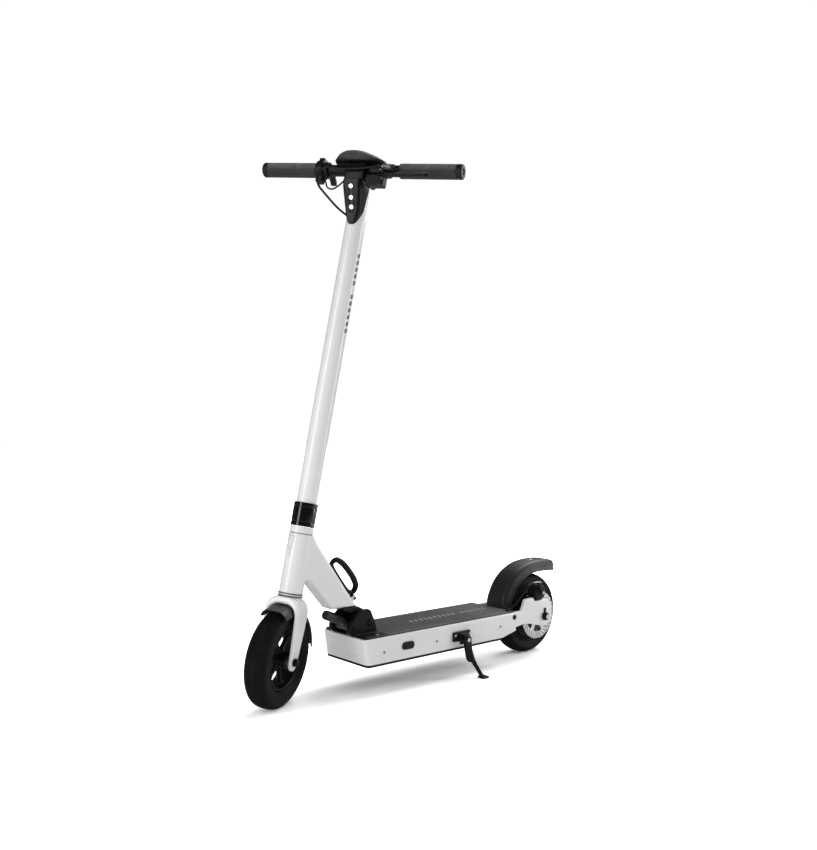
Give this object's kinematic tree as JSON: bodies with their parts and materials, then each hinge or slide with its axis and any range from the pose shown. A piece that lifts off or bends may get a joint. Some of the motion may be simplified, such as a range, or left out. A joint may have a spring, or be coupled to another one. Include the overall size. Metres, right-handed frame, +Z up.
{
  "type": "electric kick scooter",
  "caption": "Folding electric kick scooter with raked stem, T handlebar, fenders, rear hub motor, disc brake and kickstand.",
  "frame": {"origin": "centre of the bounding box's footprint, on the floor the scooter stands on", "axes": "+X the way it rides, +Y the rider's left, +Z up; standing on both wheels and the kickstand with the bars turned 26.7 degrees to the left"},
  "size_m": [0.9566, 0.432, 1.1691],
  "materials": {
    "white_paint": "gloss",
    "black_paint": "satin",
    "black_plastic": "moulded, matt",
    "gloss_plastic": "gloss",
    "grip_rubber": "matt",
    "mat_rubber": "textured, matt",
    "tyre_rubber": "matt",
    "bright_steel": "brushed",
    "cast_alloy": "cast",
    "lens": "clear gloss",
    "battery_wrap": "shrink wrap"
  },
  "bodies": {
    "deck": {"deck_shell": "white_paint", "bottom_cover": "black_paint", "deck_mat": "mat_rubber", "battery_pack": "battery_wrap", "motor_controller": "cast_alloy", "charge_socket": "black_plastic", "dropout_left": "white_paint", "dropout_right": "white_paint", "rear_axle": "bright_steel", "rear_axle_nut_left": "black_paint", "rear_axle_nut_right": "black_paint", "motor_stator": "cast_alloy", "rear_fender": "black_plastic", "caliper_body": "black_plastic", "rear_brake_cable": "black_plastic", "motor_lead": "black_plastic", "kickstand_bracket": "black_paint", "kickstand_pin": "bright_steel", "hinge_base": "black_paint", "hinge_pin": "bright_steel", "fold_pedal_pin": "bright_steel"},
    "neck": {"neck_frame": "white_paint", "hinge_knuckle": "black_paint", "headset_cup_lower": "black_paint", "headset_cup_upper": "black_paint", "latch_ring_pin": "bright_steel"},
    "steering": {"fork": "white_paint", "stem_tube": "white_paint", "clamp_collar": "gloss_plastic", "front_axle": "bright_steel", "front_axle_nut_left": "black_paint", "front_axle_nut_right": "black_paint", "front_fender": "black_plastic", "handlebar": "black_paint", "grip_left": "grip_rubber", "grip_right": "grip_rubber", "bar_clamp": "black_paint", "light_housing": "gloss_plastic", "led_lens": "lens", "display_housing": "gloss_plastic", "display_screen": "gloss_plastic", "brake_bracket": "black_plastic", "brake_lever_pin": "bright_steel", "barrel_adjuster": "bright_steel", "throttle_body": "black_plastic", "brake_cable": "black_plastic", "throttle_cable": "black_plastic"},
    "front_wheel": {"front_tyre": "tyre_rubber", "front_rim": "black_paint"},
    "rear_wheel": {"rear_tyre": "tyre_rubber", "rear_hub": "black_paint", "brake_disc": "bright_steel"},
    "kickstand": {"kickstand_leg": "black_paint"},
    "brake_lever": {"brake_lever": "black_paint"},
    "caliper_arm": {"caliper_arm": "bright_steel"},
    "throttle": {"throttle_paddle": "black_plastic"},
    "power_button": {"power_button": "black_plastic"},
    "fold_pedal": {"fold_pedal": "black_plastic"},
    "latch_ring": {"latch_ring": "black_paint"},
    "charge_cap": {"charge_cap": "black_plastic"}
  },
  "joints": [
    {"name": "stem_fold", "type": "hinge", "parent": "deck", "child": "neck", "pos_m": [0.16808, -0.0098, 0.15], "axis": [0, -1, 0], "range_deg": [0, 86]},
    {"name": "steering", "type": "hinge", "parent": "neck", "child": "steering", "pos_m": [0.37768, -0.0098, 0.09893], "axis": [-0.1942, 0, 0.981], "range_deg": [-76.7, 23.3]},
    {"name": "front_wheel_spin", "type": "hinge", "parent": "steering", "child": "front_wheel", "pos_m": [0.38373, -0.0067, 0.10013], "axis": [-0.4408, 0.8934, -0.0873], "continuous": true},
    {"name": "rear_wheel_spin", "type": "hinge", "parent": "deck", "child": "rear_wheel", "pos_m": [-0.37832, -0.0098, 0.1], "axis": [0, 1, 0], "continuous": true},
    {"name": "kickstand_swing", "type": "hinge", "parent": "deck", "child": "kickstand", "pos_m": [-0.07692, 0.0768, 0.088], "axis": [0, 1, 0], "range_deg": [0, 75]},
    {"name": "brake_lever_pull", "type": "hinge", "parent": "steering", "child": "brake_lever", "pos_m": [0.19697, 0.07193, 1.10342], "axis": [0.2849, 0.2314, 0.9302], "range_deg": [0, 12], "stiffness_Nm_per_rad": 3, "springref_deg": -2.86},
    {"name": "caliper_arm_pull", "type": "hinge", "parent": "deck", "child": "caliper_arm", "pos_m": [-0.36192, 0.0572, 0.162], "axis": [0, 1, 0], "range_deg": [0, 18]},
    {"name": "throttle_push", "type": "hinge", "parent": "steering", "child": "throttle", "pos_m": [0.22891, -0.06879, 1.12864], "axis": [0.4408, -0.8934, 0.0873], "range_deg": [0, 28], "stiffness_Nm_per_rad": 0.4, "springref_deg": -5.73},
    {"name": "power_button_press", "type": "slide", "parent": "steering", "child": "power_button", "axis": [0.1942, 0, -0.981], "range_m": [0, 0.0012], "stiffness_N_per_m": 1500, "springref_m": -0.0006},
    {"name": "fold_pedal_press", "type": "hinge", "parent": "deck", "child": "fold_pedal", "pos_m": [0.21008, -0.0098, 0.143], "axis": [0, 1, 0], "range_deg": [0, 18], "stiffness_Nm_per_rad": 4, "springref_deg": -3.44},
    {"name": "latch_ring_lift", "type": "hinge", "parent": "neck", "child": "latch_ring", "pos_m": [0.18958, -0.0098, 0.2015], "axis": [0, -1, 0], "range_deg": [0, 40]},
    {"name": "charge_cap_open", "type": "hinge", "parent": "deck", "child": "charge_cap", "pos_m": [0.07308, 0.0653, 0.097], "axis": [0, 0, 1], "range_deg": [0, 110]}
  ],
  "couplings": [
    {"joint": "caliper_arm_pull", "follows": "brake_lever_pull", "ratio": 1.5}
  ]
}
